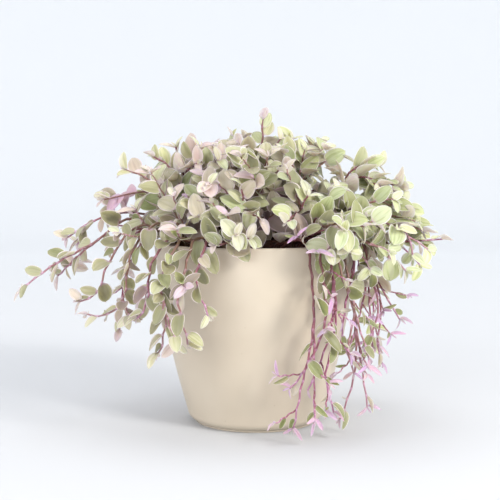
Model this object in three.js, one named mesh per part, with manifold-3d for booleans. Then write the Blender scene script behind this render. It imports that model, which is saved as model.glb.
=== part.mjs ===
// A potted turtle vine (Callisia repens, a pink-and-cream form): a tapered pot, its soil, and rooted leafy
// stems that mound over it and trail down its sides. Millimetres, +Z up, origin at the centre of the foot.
import * as THREE from "three";
import { mergeVertices } from "three/addons/utils/BufferGeometryUtils.js";
import Module from "manifold-3d";

const wasm = await Module();
wasm.setup();

// ---- Driving dimensions ----
const POT = { height: 106, rimRadius: 60, baseRadius: 38.6, bulge: 3.2, wall: 3, corner: 6, floor: 5 };
const FOOT = { radius: 36, height: 1 };
const POT_SIDES = 28;
const SOIL = { edge: 99.5, crown: 7.5, lump: 0.8, gap: 0.3, sides: 16 };
const STEM = { main: 1.25, side: 1.12, sides: 3 }; // section radii
const ROOTED = { sunk: 8, collar: 3 }; // a stem's straight foot, below and above the soil
const HOLE = { radius: 3.3, sides: 3, spare: 0.6 };
const CREST = { radius: 62, rise: 5, inner: 0.22 }; // where a trailing stem passes over the rim
const ROOT = { share: 0.68, most: 47, apart: 5.5 }; // how far out a stem is rooted, for its first waypoint
const STEM_APART = 2.8; // between the centre lines of two stems
const WALL_CLEAR = 2.2; // between a stem's centre line and the pot
const BARE = { over: 38, share: 0.42 }; // the stretch without leaves: millimetres over the rim, else a share
const BEND_ROUNDS = 60;
const FORK_AT = 0.5; // where a side shoot leaves its stem, as a share of the stem's length
const LEAF = {
  length: 13.8, // a full-grown blade
  width: 0.65, // of its length
  thick: 1.1, // at its middle
  cup: 0.04, // how far the edges rise, of its length
  droop: 0.16, // how far the tip falls, of its length
};
const GAP = { crown: 8.2, trailing: 12 }; // along the stem, between leaves
const LEAF_APART = { other: 3.3, own: 3.7 }; // between sample points of two blades, on two stems and on one
const POT_CLEAR = 1.3; // between a blade and the pot
const LEAFY = { main: 4, side: 3 }; // leaves on a crown stem and on its side shoots
const SWAY = 1.3; // how far a leaf turns its face at random
const HANGING = { under: 100, every: 3, slim: 0.75, sway: 2.8 }; // stems that start low: few, narrow leaves
const SEED = 20260;

// ---- The stems, by hand: each row is a stem's waypoints, then the tips of its side shoots ----
const CROWN = [
  { way: [[-48, 10, 162]], side: [[-34, -12, 152]] },
  { way: [[-21, 6, 163]], side: [[-14, 24, 168]] },
  { way: [[4, 0, 178]], side: [[14, -10, 166]] },
  { way: [[-6, 30, 168]], side: [[-22, 44, 158]] },
  { way: [[18, 24, 162]], side: [[40, 16, 165]] },
  { way: [[28, -10, 160]], side: [[50, 0, 157], [14, -24, 160]] },
  { way: [[54, -8, 146], [72, -4, 151]], side: [[66, 16, 142], [86, -10, 138]] },
  { way: [[0, -44, 153]], side: [[16, -34, 150], [-10, -24, 158]] },
  { way: [[-8, -52, 140]], side: [[2, -64, 122]] },
  { way: [[28, -46, 134]], side: [[16, -60, 120]] },
  { way: [[-16, -60, 124]], side: [[-24, -52, 130]] },
  { way: [[-28, -34, 144]], side: [[-38, -42, 133]] },
  { way: [[-22, -66, 108]], side: [[-4, -68, 112]] },
  { way: [[36, -60, 116]], side: [[44, -40, 138]] },
  { way: [[-44, -44, 119]], side: [[-54, -18, 139]] },
  { way: [[-48, 0, 146], [-61, 4, 156]], side: [] },
  { way: [[-60, -8, 140], [-76, -8, 148]], side: [[-88, -14, 131]] },
  { way: [[53, -30, 126], [76, -36, 132]], side: [[72, -22, 120], [90, -28, 119]] },
  { way: [[42, -57, 119], [57, -64, 118]], side: [[47, -69, 107]] },
  { way: [[58, -12, 124], [84, -10, 122]], side: [[98, -8, 112]] },
];
const LEFT = [
  { way: [[-62, -18, 114], [-84, -22, 104]], side: [[-84, -4, 118]] },
  { way: [[-66, 2, 122], [-92, 2, 120], [-112, 2, 108]], side: [] },
  { way: [[-72, -12, 120], [-92, -22, 107], [-114, -22, 95], [-135, -20, 80]], side: [[-116, -9, 86]] },
  { way: [[-66, -26, 117], [-82, -34, 97], [-90, -34, 78], [-99, -34, 74]], side: [] },
  { way: [[-56, -34, 118], [-71, -42, 97], [-71, -44, 82], [-81, -44, 69], [-94, -42, 68]], side: [] },
  { way: [[-48, -48, 110], [-57, -58, 96], [-58, -62, 79], [-64, -60, 68]], side: [] },
  { way: [[-42, -56, 108], [-50, -66, 90], [-48, -68, 68], [-52, -64, 50]], side: [[-42, -70, 56]] },
  { way: [[-28, -66, 104], [-32, -72, 90], [-25, -74, 72]], side: [] },
  { way: [[-36, -62, 102], [-41, -72, 80], [-36, -70, 56]], side: [] },
];
const RIGHT = [
  { way: [[56, -46, 110], [72, -52, 104]], side: [[62, -50, 94], [82, -46, 93]] },
  { way: [[58, -32, 116], [80, -34, 117], [87, -38, 101]], side: [[96, -34, 104]] },
  { way: [[62, 2, 115], [84, 6, 106], [112, 6, 107]], side: [[98, 6, 92]] },
  { way: [[54, -42, 97], [49, -50, 77], [46, -50, 52]], side: [] },
  { way: [[64, -18, 92], [61, -22, 72], [54, -24, 48]], side: [[67, -20, 46]] },
  { way: [[68, -10, 90], [73, -12, 68], [71, -12, 46], [74, -12, 35]], side: [[84, -12, 61]] },
  { way: [[66, -28, 86], [69, -30, 67], [62, -32, 50]], side: [] },
  { way: [[46, -54, 91], [53, -58, 74], [49, -58, 52], [53, -56, 38]], side: [[61, -56, 46]] },
  { way: [[36, -62, 87], [36, -67, 66], [27, -66, 44], [18, -63, 31]], side: [] },
  { way: [[30, -66, 80], [29, -70, 58], [24, -67, 34], [20, -62, 9]], side: [[31, -62, 12]] },
  { way: [[42, -60, 82], [41, -64, 57], [37, -62, 38], [42, -58, 17]], side: [[29, -66, 30]] },
  { way: [[51, -50, 80], [54, -54, 56], [53, -52, 34], [46, -50, 11]], side: [[61, -50, 18]] },
];

// ---- The back, which nobody sees from in front, by rule ----
const BACK_CROWN = { count: 10, from: 8, to: 172, rings: [62, 16, 40], apart: 13, aside: 900 };
const DOME = { top: 162, fall: 0.0088 }; // the back crown's height, and its fall by the radius squared
const BACK_TRAILING = { count: 5, from: 22, to: 166, reach: 80, end: 34, spread: 30 };

// ---- Random draws: a linear congruential sequence ----
let state = SEED;
function draw() {
  state = (state * 1664525 + 1013904223) % 4294967296;
  return state / 4294967296;
}
const vary = (share) => 1 + share * (2 * draw() - 1);

// ---- Vectors as plain lists ----
const add = (a, b) => [a[0] + b[0], a[1] + b[1], a[2] + b[2]];
const minus = (a, b) => [a[0] - b[0], a[1] - b[1], a[2] - b[2]];
const times = (a, k) => [a[0] * k, a[1] * k, a[2] * k];
const dot = (a, b) => a[0] * b[0] + a[1] * b[1] + a[2] * b[2];
const size = (a) => Math.sqrt(dot(a, a));
const unit = (a) => times(a, 1 / size(a));
const cross = (a, b) => [a[1] * b[2] - a[2] * b[1], a[2] * b[0] - a[0] * b[2], a[0] * b[1] - a[1] * b[0]];
const radians = (degrees) => (degrees * Math.PI) / 180;
function polar(degrees, radius, z) {
  return [radius * Math.cos(radians(degrees)), radius * Math.sin(radians(degrees)), z];
}

// ---- The pot's and the soil's shape ----
function potRadius(z) {
  const t = z / POT.height;
  return POT.baseRadius + (POT.rimRadius - POT.baseRadius) * t + POT.bulge * 4 * t * (1 - t);
}
function soilHeight(x, y) {
  const out = Math.hypot(x, y) / (POT.rimRadius - POT.wall);
  const lump = SOIL.lump * Math.sin(0.31 * x + 1) * Math.cos(0.27 * y - 0.4);
  return SOIL.edge + SOIL.crown * (1 - out * out) + lump;
}

// ---- Curves: a uniform Catmull-Rom line, as THREE.CatmullRomCurve3 draws it ----
function spaced(way, gap) {
  const waypoints = way.map((p) => new THREE.Vector3(...p));
  const line = new THREE.CatmullRomCurve3(waypoints, false, "catmullrom", 0.5);
  const steps = Math.max(2, Math.round(line.getLength() / gap));
  return line.getSpacedPoints(steps).map((p) => [p.x, p.y, p.z]);
}

// ---- What is already there: sample points that later pieces stay clear of ----
const CELL = 6;
const cells = new Map();
const cellOf = (p) => p.map((v) => Math.floor(v / CELL));
function occupy(point, stem, leaf) {
  const key = cellOf(point).join();
  if (!cells.has(key)) cells.set(key, []);
  cells.get(key).push({ point, stem, leaf });
}
function near(point) {
  const [i, j, k] = cellOf(point);
  const found = [];
  for (let a = i - 1; a <= i + 1; a++)
    for (let b = j - 1; b <= j + 1; b++)
      for (let c = k - 1; c <= k + 1; c++) found.push(...(cells.get([a, b, c].join()) ?? []));
  return found;
}

// ---- Stems ----
const roots = [];

// Points every few millimetres along a list of points, each with its span and its share of that span.
function fine(points, step = 1.5) {
  const made = [];
  for (let i = 0; i + 1 < points.length; i++) {
    const span = minus(points[i + 1], points[i]);
    const parts = Math.ceil(size(span) / step);
    for (let k = 0; k < parts; k++) {
      const share = k / parts;
      made.push({ at: add(points[i], times(span, share)), span: i, share });
    }
  }
  made.push({ at: points[points.length - 1], span: points.length - 2, share: 1 });
  return made;
}

// How far a point of a stem has to move to be clear of the pot's wall and of the other stems.
function pushAt(p, stem) {
  let push = [0, 0, 0];
  const away = Math.hypot(p[0], p[1]);
  const outside = potRadius(Math.min(p[2], POT.height)) + WALL_CLEAR - away;
  if (p[2] < POT.height + WALL_CLEAR && outside > 0 && away > POT.rimRadius - POT.wall - WALL_CLEAR) {
    const rise = POT.height + WALL_CLEAR - p[2];
    push = rise < outside ? [0, 0, rise] : times([p[0] / away, p[1] / away, 0], outside);
  }
  for (const o of near(p)) {
    const gap = minus(p, o.point);
    const far = size(gap);
    if (o.stem === stem || far >= STEM_APART) continue;
    push = add(push, times(gap, (STEM_APART - far) / Math.max(far, 0.1)));
  }
  return push;
}

// Bends a stem clear of what is there, all but its first fixed points.
function bendClear(points, stem, fixed) {
  for (let round = 0; round < BEND_ROUNDS; round++) {
    const moves = points.map(() => [0, 0, 0]);
    let clear = true;
    for (const { at, span, share } of fine(points)) {
      const push = pushAt(at, stem);
      if (size(push) < 1e-6) continue;
      clear = false;
      moves[span] = add(moves[span], times(push, 0.5 * (1 - share)));
      moves[span + 1] = add(moves[span + 1], times(push, 0.5 * share));
    }
    if (clear) return;
    moves.forEach((move, i) => {
      if (i < fixed) return;
      const far = size(move);
      points[i] = add(points[i], far > 2 ? times(move, 2 / far) : move);
    });
  }
}

function rootFor(first) {
  const away = Math.hypot(first[0], first[1]);
  const radius = Math.min(ROOT.most, away * ROOT.share);
  const heading = (Math.atan2(first[1], first[0]) * 180) / Math.PI;
  for (const inward of [0, 6, 12, 18, 24, 30]) {
    for (const turn of [0, 8, -8, 16, -16]) {
      const spot = polar(heading + turn, Math.max(3, radius - inward), 0);
      if (roots.every((r) => Math.hypot(r[0] - spot[0], r[1] - spot[1]) > ROOT.apart)) return spot;
    }
  }
  throw new Error("no room for a root");
}

// One rooted stem with its shoots. bare is the first point of a shoot that may carry a leaf.
function plant(name, row, trailing) {
  const first = row.way[0];
  const stem = { name, trailing, hanging: first[2] < HANGING.under, shoots: [], leaves: [] };
  const gap = (trailing ? GAP.trailing : GAP.crown) * vary(0.1);
  const over = trailing && Math.hypot(first[0], first[1]) > POT.rimRadius - 4;
  const root = rootFor(first);
  roots.push(root);
  const inward = ROOT.most - Math.hypot(root[0], root[1]);
  const rise = CREST.rise * vary(0.3) + CREST.inner * inward;
  const crest = polar((Math.atan2(first[1], first[0]) * 180) / Math.PI, CREST.radius, POT.height + rise);
  const way = over && first[2] < crest[2] + 2 ? [crest, ...row.way] : row.way;
  const ground = soilHeight(root[0], root[1]);
  const foot = [root[0], root[1], ground - ROOTED.sunk];
  const collar = [root[0], root[1], ground + ROOTED.collar];
  const points = [foot, ...spaced([collar, ...way], gap)];
  bendClear(points, name, 2);
  const bare = over ? Math.round(BARE.over / gap) : Math.ceil((points.length - 1) * BARE.share);
  stem.shoots.push({ points, bare });
  fine(points).forEach((p) => occupy(p.at, name, -1));
  for (const tip of row.side) addShoot(stem, points, tip, gap);
  return stem;
}

// A side shoot leaves the main stem along it and bends to its own tip.
function addShoot(stem, points, tip, gap) {
  const at = Math.max(2, Math.round((points.length - 1) * FORK_AT * vary(0.15)));
  const along = unit(minus(points[at + 1] ?? points[at], points[at - 1]));
  const from = points[at];
  const reach = size(minus(tip, from));
  const lean = add(from, add(times(along, 0.22 * reach), times(unit(minus(tip, from)), 0.2 * reach)));
  const shoot = spaced([from, lean, tip], gap);
  bendClear(shoot, stem.name, 1);
  stem.shoots.push({ points: shoot, bare: 1 });
  fine(shoot).forEach((p) => occupy(p.at, stem.name, -1));
}

function dome(degrees, radius) {
  return polar(degrees, radius, DOME.top - DOME.fall * radius ** 2);
}
function backCrown(i) {
  const { count, from, to, rings, apart, aside } = BACK_CROWN;
  const heading = from + ((to - from) * (i + 0.5)) / count + 8 * (draw() - 0.5);
  const radius = rings[i % rings.length] * vary(0.12);
  const turn = (i % 2 ? aside : -aside) / radius;
  return { way: [dome(heading, radius)], side: [dome(heading + turn, radius + apart)] };
}
function backTrailing(i) {
  const { count, from, to, reach, end, spread } = BACK_TRAILING;
  const heading = from + ((to - from) * i) / (count - 1);
  const last = end + spread * 2 * draw();
  const middle = (POT.height + last) / 2;
  const way = [polar(heading, 64, 114), polar(heading + 3, reach, middle + 8)];
  way.push(polar(heading + 5, reach * 1.05, last));
  return { way, side: i % 2 ? [polar(heading - 8, reach * 1.04, middle)] : [] };
}

const named = (kind, i) => `${kind}_stem_${String(i + 1).padStart(2, "0")}`;
const repeat = (count, make) => Array.from({ length: count }, (_, i) => make(i));
const stems = [
  ...RIGHT.map((row, i) => plant(named("right", i), row, true)),
  ...LEFT.map((row, i) => plant(named("left", i), row, true)),
  ...CROWN.map((row, i) => plant(named("crown", i), row, false)),
  ...repeat(BACK_TRAILING.count, backTrailing).map((row, i) => plant(named("back", i), row, true)),
  ...repeat(BACK_CROWN.count, backCrown).map((row, i) => plant(named("rear", i), row, false)),
];

// ---- Leaves ----
const TIP_SHARE = [0.7, 0.88, 0.96]; // the last leaves of a shoot, against a full-grown one
const TURNS = [0, 24, -24, 48, -48, 72, -72, 100, -100];
const LIFTS = [0, 14, -14];
const LIGHT = [0.06, -0.34, 0.66]; // leaves turn their faces to it
const OUTWARD = { share: 0.72, behind: 18 }; // and away from a line this far behind the pot's middle

// Half the blade's width at a share v of its length.
const halfWidth = (v) => 0.5 * LEAF.width * Math.sin(Math.PI * v ** 0.8) ** 0.75;

// A point of a blade: v along it, w across it from -1 to 1, in the leaf's own axes.
function bladePoint(leaf, v, w) {
  const rise = leaf.long * (LEAF.cup * Math.abs(w) * Math.sin(Math.PI * v ** 0.8) - LEAF.droop * v * v);
  const spread = add(times(leaf.across, leaf.long * halfWidth(v) * w), times(leaf.up, rise));
  return add(leaf.from, add(times(leaf.along, leaf.long * v), spread));
}
const SAMPLES = [[0.35, 0], [0.65, 0], [0.85, 0], [1, 0], [0.28, 1], [0.28, -1], [0.6, 1], [0.6, -1]];

function leafAt(points, k, turn, lift, long, slim, facing) {
  const here = times(add(points[k], points[k - 1]), 0.5);
  const along = unit(minus(points[k], points[k - 1]));
  const outward = unit([here[0], here[1] - OUTWARD.behind, 0]);
  let aside = cross(outward, [0, 0, 1]);
  aside = minus(aside, times(along, dot(aside, along)));
  aside = size(aside) < 0.2 ? unit(cross(along, [0, 0, 1])) : unit(aside);
  const over = cross(along, aside);
  const out = add(times(aside, Math.cos(radians(turn))), times(over, Math.sin(radians(turn))));
  const axis = unit(add(times(out, Math.cos(radians(lift))), times(along, Math.sin(radians(lift)))));
  const wanted = add(add(LIGHT, times(outward, OUTWARD.share)), facing);
  let up = minus(wanted, times(axis, dot(wanted, axis)));
  up = size(up) < 0.15 ? unit(cross(axis, aside)) : unit(up);
  return { from: here, along: axis, across: times(cross(up, axis), slim), up, long };
}

function fits(leaf, stem) {
  return SAMPLES.every(([v, w]) => {
    const p = bladePoint(leaf, v, w);
    const away = Math.hypot(p[0], p[1]);
    if (p[2] < 2.5) return false;
    if (p[2] < POT.height + POT_CLEAR && away > POT.rimRadius - POT.wall - POT_CLEAR) {
      if (away < potRadius(p[2]) + POT_CLEAR) return false;
    } else if (away < POT.rimRadius && p[2] < soilHeight(p[0], p[1]) + 1.2) return false;
    return near(p).every((o) => {
      if (o.stem !== stem) return size(minus(o.point, p)) > LEAF_APART.other;
      return o.leaf < 0 ? v < 0.5 || size(minus(o.point, p)) > 1.6 : size(minus(o.point, p)) > LEAF_APART.own;
    });
  });
}

// Leaves stand in turn on two sides of a shoot, twisting slowly; on a crown shoot, near its tip only.
function growLeaves(stem, shoot, number) {
  const last = shoot.points.length - 1;
  let turn = 360 * draw();
  const drift = 25 + 30 * draw();
  const sway = stem.hanging ? HANGING.sway : SWAY;
  const slim = stem.hanging ? HANGING.slim : 1;
  for (let k = Math.max(1, shoot.bare); k <= last; k++) {
    turn += 180 + drift;
    const toTip = last - k;
    const grown = (TIP_SHARE[toTip] ?? 1) * vary(0.18);
    const lift = 38 + 14 * (2 * draw() - 1) + (toTip < 2 ? 18 : 0);
    const facing = [sway * (draw() - 0.5), sway * (draw() - 0.5), sway * (draw() - 0.5)];
    if (!stem.trailing && toTip >= (number ? LEAFY.side : LEAFY.main)) continue;
    if (stem.hanging && toTip % HANGING.every) continue;
    let leaf = null;
    for (const t of TURNS) {
      for (const l of LIFTS) {
        const tried = leafAt(shoot.points, k, turn + t, lift + l, LEAF.length * grown, slim, facing);
        if (!leaf && fits(tried, stem.name)) leaf = tried;
      }
    }
    if (!leaf) continue;
    stem.leaves.push(leaf);
    for (const [v, w] of SAMPLES) occupy(bladePoint(leaf, v, w), stem.name, stem.leaves.length);
  }
}
for (const stem of stems) stem.shoots.forEach((shoot, number) => growLeaves(stem, shoot, number));

// ---- Solids ----
function solidFrom(geometry) {
  const bare = geometry.clone();
  bare.deleteAttribute("normal");
  bare.deleteAttribute("uv");
  const merged = mergeVertices(bare, 1e-4);
  return new wasm.Manifold(
    new wasm.Mesh({
      numProp: 3,
      vertProperties: new Float32Array(merged.attributes.position.array),
      triVerts: new Uint32Array(merged.index.array),
    }),
  );
}
function geometryFrom(solid) {
  const mesh = solid.getMesh();
  return new THREE.BufferGeometry()
    .setAttribute("position", new THREE.BufferAttribute(mesh.vertProperties, 3))
    .setIndex(new THREE.BufferAttribute(mesh.triVerts, 1));
}
const FINEST = 0.01; // shorter edges, which joining leaves, are closed up
const biggestOf = (solid) => solid.decompose().reduce((a, b) => (b.volume() > a.volume() ? b : a));

// The line through a stem's points, with an equal share of t to each span.
class StemLine extends THREE.Curve {
  constructor(points) {
    super();
    this.points = points.map((p) => new THREE.Vector3(...p));
  }
  getPoint(t) {
    const at = t * (this.points.length - 1);
    const i = Math.min(Math.floor(at), this.points.length - 2);
    return new THREE.Vector3().lerpVectors(this.points[i], this.points[i + 1], at - i);
  }
  getUtoTmapping(u) {
    return u;
  }
}
function tube(all, bare, radius) {
  const points = all.filter((_, i) => i < 2 || i >= bare - 1 || i % 2 === 1);
  const corners = repeat(STEM.sides, (i) => new THREE.Vector2(...polar((360 * i) / STEM.sides, radius, 0)));
  const path = { extrudePath: new StemLine(points), steps: points.length - 1 };
  return solidFrom(new THREE.ExtrudeGeometry(new THREE.Shape(corners), path));
}

// A blade: a six-cornered outline with sharp edges, arched on top to one point and plain beneath.
const SHOULDERS = [0.28, 0.66];
const MIDDLE = 0.45;
const BLADE_TOP = [[1, 0, 6], [2, 1, 6], [3, 2, 6], [4, 3, 6], [5, 4, 6], [0, 5, 6]];
const BLADE_UNDER = [[0, 1, 5], [5, 1, 2], [5, 2, 4], [4, 2, 3]];
function blade(leaf, thick) {
  const [low, high] = SHOULDERS;
  const places = [[low, 1], [high, 1], [1, 0], [high, -1], [low, -1]];
  const outline = places.map(([v, w]) => bladePoint(leaf, v, w));
  const level = times(add(bladePoint(leaf, MIDDLE, 1), bladePoint(leaf, MIDDLE, -1)), 0.5);
  const corners = [leaf.from, ...outline, add(level, times(leaf.up, thick))];
  const geometry = new THREE.BufferGeometry();
  geometry.setAttribute("position", new THREE.BufferAttribute(new Float32Array(corners.flat()), 3));
  geometry.setIndex([...BLADE_TOP, ...BLADE_UNDER].flat());
  return solidFrom(geometry);
}

// A body of revolution about Z from a profile of [radius, height] points.
function turned(profile, sides) {
  const points = profile.map((p) => new THREE.Vector2(...p));
  return new THREE.LatheGeometry(points, sides).rotateX(Math.PI / 2);
}

function potSolid() {
  const { height, wall, corner, floor } = POT;
  const profile = [[0, 0], [FOOT.radius, 0], [FOOT.radius, FOOT.height]];
  const edge = potRadius(corner + FOOT.height);
  for (const degrees of [0, 30, 60])
    profile.push([
      edge - corner + corner * Math.sin(radians(degrees + 12)),
      FOOT.height + corner - corner * Math.cos(radians(degrees)),
    ]);
  for (const z of [7, 30, 54, 80]) profile.push([potRadius(z), z]);
  const inside = POT.rimRadius - wall;
  profile.push([POT.rimRadius, height - 1.2], [POT.rimRadius - 1, height]);
  profile.push([inside + 0.6, height], [inside, height - 1], [potRadius(50) - wall, 50]);
  profile.push([potRadius(floor + 4) - wall, floor + 4], [potRadius(floor) - wall - 5, floor], [0, floor]);
  return solidFrom(turned(profile, POT_SIDES));
}

function soilSolid() {
  const { edge, gap, sides } = SOIL;
  const wall = POT.wall + gap + 0.25;
  const profile = [[0, POT.floor + gap], [potRadius(POT.floor) - wall - 5.4, POT.floor + gap]];
  profile.push([potRadius(9) - wall - 0.4, 9.4], [potRadius(50) - wall, 50]);
  profile.push([potRadius(edge) - wall - 0.6, edge - 1.5], [44, edge], [22, edge], [0, edge]);
  const geometry = turned(profile, sides);
  const p = geometry.attributes.position;
  for (let i = 0; i < p.count; i++)
    if (p.getZ(i) > edge - 0.01) p.setZ(i, soilHeight(p.getX(i), p.getY(i)));
  let solid = solidFrom(geometry);
  for (const [x, y] of roots) {
    const depth = ROOTED.sunk + HOLE.spare;
    const hole = new THREE.CylinderGeometry(HOLE.radius, HOLE.radius, depth + 6, HOLE.sides);
    hole.rotateX(Math.PI / 2);
    hole.translate(x, y, soilHeight(x, y) - depth + (depth + 6) / 2);
    solid = solid.subtract(solidFrom(hole));
  }
  return solid;
}

// True where no two corners of a solid share a place, as they can where blades only just cross.
function isTight(solid) {
  const { vertProperties: at } = solid.getMesh();
  const places = new Set();
  for (let i = 0; i < at.length; i += 3) {
    const corner = [at[i], at[i + 1], at[i + 2]];
    places.add(corner.map((v) => Math.round(v * 1000)).join());
  }
  return places.size * 3 === at.length;
}

// A stem's tubes and blades, joined one by one. A blade that joins badly is tried fatter.
function stemSolid(stem) {
  const tubes = stem.shoots.map((shoot, i) => tube(shoot.points, shoot.bare, i ? STEM.side : STEM.main));
  let solid = tubes.reduce((a, b) => a.add(b));
  for (const leaf of stem.leaves) {
    const fatter = [1, 1.12, 1.24].map((share) => blade(leaf, LEAF.thick * share));
    solid = fatter.map((tried) => solid.add(tried).simplify(FINEST)).find(isTight) ?? solid;
  }
  return biggestOf(solid);
}

// ---- The plant ----
const glazed = new THREE.MeshStandardMaterial({ color: 0xdccdb4, roughness: 0.45, metalness: 0 });
const peat = new THREE.MeshStandardMaterial({ color: 0x2e1c18, roughness: 1, metalness: 0 });
const foliage = new THREE.MeshStandardMaterial({ color: 0xb2bd86, roughness: 0.5, metalness: 0 });

const plantGroup = new THREE.Group();
function place(name, solid, material) {
  const mesh = new THREE.Mesh(geometryFrom(solid), material);
  mesh.name = name;
  plantGroup.add(mesh);
}
place("pot", potSolid(), glazed);
place("soil", soilSolid(), peat);
for (const stem of stems) place(stem.name, stemSolid(stem), foliage);

export default plantGroup;
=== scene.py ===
"""A potted turtle vine, a pink-and-cream form of Callisia repens, in a satin cream pot of peaty soil.

The growth rule, in millimetres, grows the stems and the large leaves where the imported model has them.
It then fills in the small leaves, the short side sprigs and the buds at the tips.
"""

import bisect
import math
from functools import partial

import bmesh
import bpy
from mathutils import Matrix, Vector, noise


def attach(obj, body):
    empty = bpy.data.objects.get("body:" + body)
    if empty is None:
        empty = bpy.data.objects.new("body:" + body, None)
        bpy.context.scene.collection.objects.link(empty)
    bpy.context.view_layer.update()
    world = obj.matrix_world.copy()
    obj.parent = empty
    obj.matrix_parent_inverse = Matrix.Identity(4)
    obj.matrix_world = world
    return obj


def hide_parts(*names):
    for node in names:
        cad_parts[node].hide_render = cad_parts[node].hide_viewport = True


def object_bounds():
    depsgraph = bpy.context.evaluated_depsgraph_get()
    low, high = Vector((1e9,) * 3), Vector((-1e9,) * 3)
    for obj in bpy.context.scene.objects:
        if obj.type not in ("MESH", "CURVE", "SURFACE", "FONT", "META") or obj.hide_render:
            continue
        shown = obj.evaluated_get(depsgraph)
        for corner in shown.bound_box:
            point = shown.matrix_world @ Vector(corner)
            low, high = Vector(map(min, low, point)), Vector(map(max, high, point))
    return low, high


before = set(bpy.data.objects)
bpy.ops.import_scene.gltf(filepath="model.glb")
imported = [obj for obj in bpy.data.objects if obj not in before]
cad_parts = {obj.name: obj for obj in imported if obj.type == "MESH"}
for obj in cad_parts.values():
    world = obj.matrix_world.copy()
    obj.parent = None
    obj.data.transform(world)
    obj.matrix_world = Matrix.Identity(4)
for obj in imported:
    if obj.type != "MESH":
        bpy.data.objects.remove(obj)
cad_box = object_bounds()

MM = 0.001

# ---- The pot, the soil and the growth rule's sizes, in millimetres ----
POT = {"height": 106, "rim": 60, "base": 38.6, "bulge": 3.2, "wall": 3, "corner": 6, "floor": 5}
FOOT = {"radius": 36, "height": 1, "ring": 2, "slope": 1, "hollow": 0.4}
SOIL = {"edge": 99.5, "crown": 7.5, "lump": 0.8, "gap": 0.5, "bottom": 40}
SUNK, COLLAR = 8, 3
CREST = {"radius": 62, "rise": 5, "inner": 0.22, "vary": 0.3, "from": 4, "under": 2}
ROOT = {"share": 0.68, "least": 3, "most": 47, "apart": 5.5}
ROOT_TRIES = {"inward": range(0, 31, 6), "turns": (0, 8, -8, 16, -16)}
STEM_APART = 2.8
WALL_CLEAR = 2.2
BARE = {"over": 38, "share": 0.42}
BEND = {"rounds": 60, "most": 2}
FORK = {"at": 0.5, "vary": 0.15, "along": 0.22, "aside": 0.2}
LEAF = {"length": 13.8, "width": 0.65, "cup": 0.04, "droop": 0.16, "skew": 0.8, "round": 0.75}
GAP = {"crown": 8.2, "trailing": 12}
LEAF_APART = {"other": 3.3, "own": 3.7}
LEAF_CLEAR = {"floor": 2.5, "pot": 1.3, "soil": 1.2, "stem": 1.6}
LEAFY = {"main": 4, "side": 3}
SWAY = 1.3
HANGING = {"under": 100, "every": 3, "slim": 0.75, "sway": 2.8}
SEED = 20260

# ---- The stems, listed one by one: each row is a stem's waypoints, then the tips of its side shoots ----
CROWN = [
    ([(-48, 10, 162)], [(-34, -12, 152)]),
    ([(-21, 6, 163)], [(-14, 24, 168)]),
    ([(4, 0, 178)], [(14, -10, 166)]),
    ([(-6, 30, 168)], [(-22, 44, 158)]),
    ([(18, 24, 162)], [(40, 16, 165)]),
    ([(28, -10, 160)], [(50, 0, 157), (14, -24, 160)]),
    ([(54, -8, 146), (72, -4, 151)], [(66, 16, 142), (86, -10, 138)]),
    ([(0, -44, 153)], [(16, -34, 150), (-10, -24, 158)]),
    ([(-8, -52, 140)], [(2, -64, 122)]),
    ([(28, -46, 134)], [(16, -60, 120)]),
    ([(-16, -60, 124)], [(-24, -52, 130)]),
    ([(-28, -34, 144)], [(-38, -42, 133)]),
    ([(-22, -66, 108)], [(-4, -68, 112)]),
    ([(36, -60, 116)], [(44, -40, 138)]),
    ([(-44, -44, 119)], [(-54, -18, 139)]),
    ([(-48, 0, 146), (-61, 4, 156)], []),
    ([(-60, -8, 140), (-76, -8, 148)], [(-88, -14, 131)]),
    ([(53, -30, 126), (76, -36, 132)], [(72, -22, 120), (90, -28, 119)]),
    ([(42, -57, 119), (57, -64, 118)], [(47, -69, 107)]),
    ([(58, -12, 124), (84, -10, 122)], [(98, -8, 112)]),
]
LEFT = [
    ([(-62, -18, 114), (-84, -22, 104)], [(-84, -4, 118)]),
    ([(-66, 2, 122), (-92, 2, 120), (-112, 2, 108)], []),
    ([(-72, -12, 120), (-92, -22, 107), (-114, -22, 95), (-135, -20, 80)], [(-116, -9, 86)]),
    ([(-66, -26, 117), (-82, -34, 97), (-90, -34, 78), (-99, -34, 74)], []),
    ([(-56, -34, 118), (-71, -42, 97), (-71, -44, 82), (-81, -44, 69), (-94, -42, 68)], []),
    ([(-48, -48, 110), (-57, -58, 96), (-58, -62, 79), (-64, -60, 68)], []),
    ([(-42, -56, 108), (-50, -66, 90), (-48, -68, 68), (-52, -64, 50)], [(-42, -70, 56)]),
    ([(-28, -66, 104), (-32, -72, 90), (-25, -74, 72)], []),
    ([(-36, -62, 102), (-41, -72, 80), (-36, -70, 56)], []),
]
RIGHT = [
    ([(56, -46, 110), (72, -52, 104)], [(62, -50, 94), (82, -46, 93)]),
    ([(58, -32, 116), (80, -34, 117), (87, -38, 101)], [(96, -34, 104)]),
    ([(62, 2, 115), (84, 6, 106), (112, 6, 107)], [(98, 6, 92)]),
    ([(54, -42, 97), (49, -50, 77), (46, -50, 52)], []),
    ([(64, -18, 92), (61, -22, 72), (54, -24, 48)], [(67, -20, 46)]),
    ([(68, -10, 90), (73, -12, 68), (71, -12, 46), (74, -12, 35)], [(84, -12, 61)]),
    ([(66, -28, 86), (69, -30, 67), (62, -32, 50)], []),
    ([(46, -54, 91), (53, -58, 74), (49, -58, 52), (53, -56, 38)], [(61, -56, 46)]),
    ([(36, -62, 87), (36, -67, 66), (27, -66, 44), (18, -63, 31)], []),
    ([(30, -66, 80), (29, -70, 58), (24, -67, 34), (20, -62, 9)], [(31, -62, 12)]),
    ([(42, -60, 82), (41, -64, 57), (37, -62, 38), (42, -58, 17)], [(29, -66, 30)]),
    ([(51, -50, 80), (54, -54, 56), (53, -52, 34), (46, -50, 11)], [(61, -50, 18)]),
]
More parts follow.
